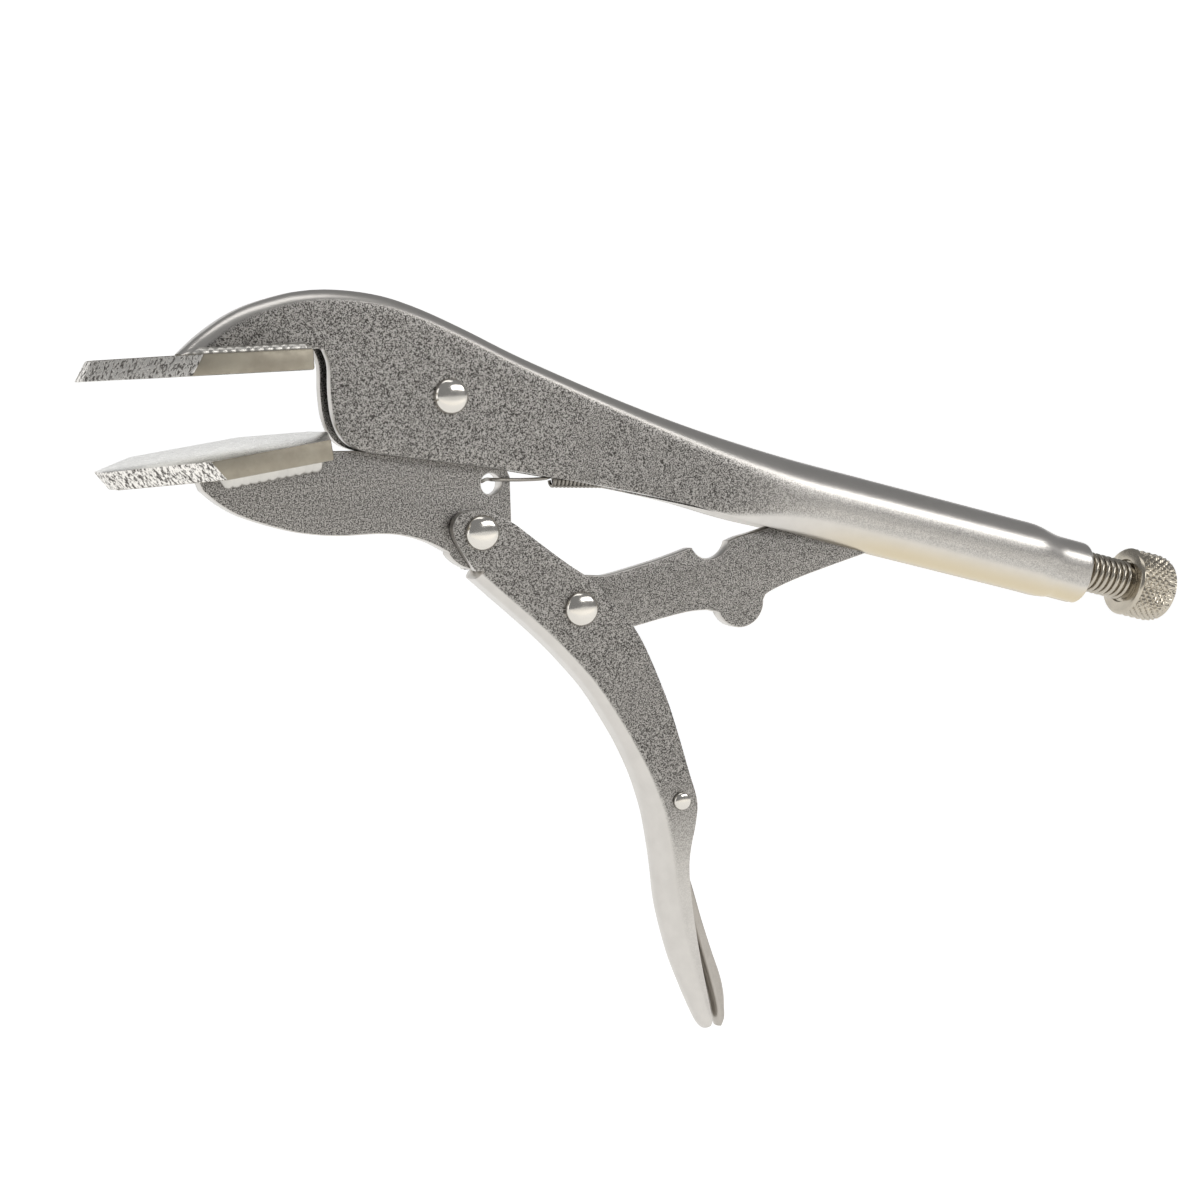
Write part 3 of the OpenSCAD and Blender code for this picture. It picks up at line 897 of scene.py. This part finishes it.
bead("upper_bead_near", 3.5, 28.0, FRONT_HALF, -1, Matrix.Identity(4), "fixed_handle",
     "upper_weld_near", 3.0)
bead("upper_bead_far", 3.5, 28.0, FRONT_HALF, 1, Matrix.Identity(4), "fixed_handle",
     "upper_weld_far", 5.0)
bead("lower_bead_near", 4.5, 27.5, JAW_T / 2, -1, ON_LOWER_JAW, "lower_jaw",
     "lower_weld_near", 7.0, 3.0)
bead("lower_bead_far", 4.5, 27.5, JAW_T / 2, 1, ON_LOWER_JAW, "lower_jaw",
     "lower_weld_far", 9.0, 3.0)

rivet("jaw_pivot_rivet", JAW_PIN, 5.6, 7.6, 2.0, 9.4, "fixed_handle", "jaw_rivet")
rivet("lever_pivot_rivet", LEVER_PIN, 5.6, 7.6, 2.0, 9.0, "lower_jaw", "lever_rivet")
rivet("link_pivot_rivet", LINK_PIN, 5.6, 7.6, 2.0, 9.0, "lever_handle", "link_rivet")
rivet("release_pivot_rivet", RELEASE_PIN, 2.8, 4.0, 1.1, 11.0, "lever_handle", "release_rivet")

# The handle's axis as +Z, with the handle's end at zero
ALONG = (Matrix.Translation((HANDLE_END[0] * MM, 0, HANDLE_END[1] * MM))
         @ Matrix.Rotation(math.pi / 2 + SLOPE, 4, "Y"))

start_u, stop_u, lead_in, core_r = -42.0, THREAD_OUT + 0.6, 0.7, 3.95
thread_l = stop_u - start_u - 2 * lead_in
crest = wound_wire.make("thread_crest", screw_metal, turns=thread_l / PITCH, steps=28,
                        radius=(THREAD_D / 2 - CREST_R) * MM, length=thread_l * MM,
                        wire_radius=CREST_R * MM, wire_sides=10)
crest.data.transform(ALONG @ Matrix.Translation((0, 0, (start_u + lead_in) * MM)))
core = lathe("thread_core", [(0, start_u), (3.2, start_u), (core_r, start_u + lead_in),
                             (core_r, stop_u), (0, stop_u)], 48, ALONG)
screw = join("threaded_rod", [crest, core])
clean(screw, merge=False)
place(screw, "adjusting_screw", screw_metal, ["adjusting_screw"])

knob_profile = [(0, 0.6), (4.9, 0.6), (5.2, 0.0), (7.35, 0.0), (7.6, 0.12), (7.95, 0.62)]
knob_profile += [(8.0, 0.62 + 0.22 * (k + 1)) for k in range(35)]
knob_profile += [(7.95 - 3.0 * (1 - math.cos(math.radians(a))),
                  8.7 + 2.75 * math.sin(math.radians(a))) for a in range(9, 91, 9)]
knob_profile += [(4.4, 11.45), (3.8, 11.4), (0, 11.35)]
knob = lathe("knob_blank", knob_profile, 288)
knob = diamond_knurl.make("knurled_knob", knob_metal, knob, teeth=30, lead=560.0,
                          depth=0.55 * MM, start=0.9 * MM, stop=10.6 * MM)
knob.data.transform(ALONG @ Matrix.Translation((0, 0, THREAD_OUT * MM)))
shade(knob, 30)
place(knob, "adjusting_knob", knob_metal, ["adjusting_knob"])


def bent_wire(name, points, radius, sides=10):
    """Round wire bent through these points."""
    rows = smooth(points, 4)
    verts = []
    for i, p in enumerate(rows):
        ahead = Vector(rows[min(i + 1, len(rows) - 1)]) - Vector(rows[max(i - 1, 0)])
        ahead.normalize()
        side = ahead.cross(Vector((0, 0, 1)))
        if side.length < 0.1:
            side = ahead.cross(Vector((0, 1, 0)))
        side.normalize()
        up = side.cross(ahead)
        for k in range(sides):
            a = 2 * math.pi * k / sides
            verts.append(tuple(Vector(p) + radius * (math.cos(a) * side + math.sin(a) * up)))
    faces = grid_faces(len(rows), sides, closed=True)
    faces.append(tuple(range(sides)))
    faces.append(tuple(range(len(verts) - sides, len(verts))))
    return clean(mesh_object(name, verts, faces))


coil_from, coil_to = Vector((81.5, -0.4, -26.3)), Vector((111.0, -0.4, -28.6))
run = coil_to - coil_from
coils = wound_wire.make("spring_coils", spring_metal, turns=run.length / COIL_STEP, steps=16,
                        radius=(COIL_D / 2 - WIRE_D / 2) * MM, length=run.length * MM,
                        wire_radius=WIRE_D / 2 * MM, wire_sides=8)
coils.data.transform(Matrix.Translation(coil_from * MM)
                     @ run.to_track_quat("Z", "Y").to_matrix().to_4x4())
front_wire = bent_wire("spring_hook", [
    (66.6, 2.6, -25.6), (67.2, 1.2, -25.1), (67.2, -1.4, -25.1), (67.9, -2.45, -25.15),
    (70.5, -2.55, -25.35), (74.5, -2.45, -25.6), (78.5, -1.9, -25.7), (80.6, -1.1, -25.5),
    (81.7, -0.4, -25.1)], WIRE_D / 2)
rear_wire = bent_wire("spring_tail", [
    (110.8, -0.4, -27.4), (112.2, -0.9, -28.4), (114.5, -1.3, -29.0), (117.2, -1.3, -29.45),
    (118.0, -0.6, -29.5), (118.0, 1.2, -29.5)], WIRE_D / 2)
spring = join("return_spring_wire", [front_wire, coils, rear_wire])
clean(spring, merge=False)
spring.data.materials.clear()
spring.data.materials.append(spring_metal)
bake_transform(spring)
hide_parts("return_spring")

anchor = frame["nodes"]["spring_anchor"]
anchor.data.materials.clear()
anchor.data.materials.append(flat_nickel)


# ---------------------------------------------------------------- floor, light and camera

def sweep():
    """A pale floor that rises behind into a plain backdrop."""
    bend_y, bend_r = 1.4, 0.6
    profile = [(-FLOOR_REACH, FLOOR_Z), (bend_y, FLOOR_Z)]
    for a in range(10, 91, 10):
        turn = math.radians(a)
        profile.append((bend_y + bend_r * math.sin(turn), FLOOR_Z + bend_r * (1 - math.cos(turn))))
    profile.append((bend_y + bend_r, 0.7))
    verts = [(x, y, z) for y, z in profile for x in (-FLOOR_REACH, FLOOR_REACH)]
    obj = mesh_object("studio_floor", verts, grid_faces(len(profile), 2), scale=1.0)
    obj.data.shade_smooth()
    paint = bpy.data.materials.new("pale_floor")
    paint.use_nodes = True
    shader = paint.node_tree.nodes["Principled BSDF"]
    shader.inputs["Base Color"].default_value = (0.72, 0.72, 0.71, 1)
    shader.inputs["Emission Color"].default_value = (1, 1, 1, 1)
    shader.inputs["Emission Strength"].default_value = 0.70
    shader.inputs["Roughness"].default_value = 0.9
    obj.data.materials.append(paint)


def softbox(name, spot, aim, size, power, colour=(1, 1, 1)):
    """A soft rectangular light, in metres and watts."""
    light = bpy.data.lights.new(name, "AREA")
    light.shape = "RECTANGLE"
    light.size, light.size_y = size
    light.energy = power
    light.color = colour
    obj = add_object(name, light)
    obj.location = spot
    obj.rotation_euler = (Vector(aim) - Vector(spot)).to_track_quat("-Z", "Y").to_euler()


def studio():
    """A dim even room with four soft lights."""
    world = bpy.data.worlds.new("studio_air")
    bpy.context.scene.world = world
    world.use_nodes = True
    tree = world.node_tree
    sky = tree.nodes["Background"]
    sky.inputs["Strength"].default_value = 0.3
    sky.inputs["Color"].default_value = (0.97, 0.98, 1.0, 1)
    softbox("top_box", (0.0, -0.1, 0.9), (0.1, 0, -0.05), (1.2, 0.3), 1.8)
    softbox("left_box", (-0.9, -0.3, 0.3), (0.1, 0, -0.05), (0.5, 0.8), 1.6)
    softbox("front_box", (0.64, -0.62, 0.33), (0.16, 0, -0.04), (0.8, 0.26), 2.6)
    softbox("low_box", (0.2, -0.32, -0.13), (0.15, 0, -0.05), (0.9, 0.1), 0.05, (1.0, 0.86, 0.6))


def camera():
    """Looks at the near side from the plates' end, a little from above."""
    turn, dip, roll = math.radians(23.6), math.radians(5.19), math.radians(3.1)
    ahead = Vector((math.sin(turn) * math.cos(dip), math.cos(turn) * math.cos(dip),
                    -math.sin(dip)))
    side = Vector((math.cos(turn), -math.sin(turn), 0))
    up = side.cross(ahead)
    right = side * math.cos(roll) - up * math.sin(roll)
    top = side * math.sin(roll) + up * math.cos(roll)
    data = bpy.data.cameras.new("camera")
    data.sensor_width = 36
    data.lens = 81
    data.clip_start = 0.01
    obj = add_object("camera", data)
    spot = (-0.14175, -0.5339, 0.0)
    turned = Matrix((right, top, -ahead)).transposed().to_4x4()
    obj.matrix_world = Matrix.Translation(spot) @ turned
    bpy.context.scene.camera = obj


sweep()
studio()
camera()
bpy.context.scene.view_settings.view_transform = "Standard"
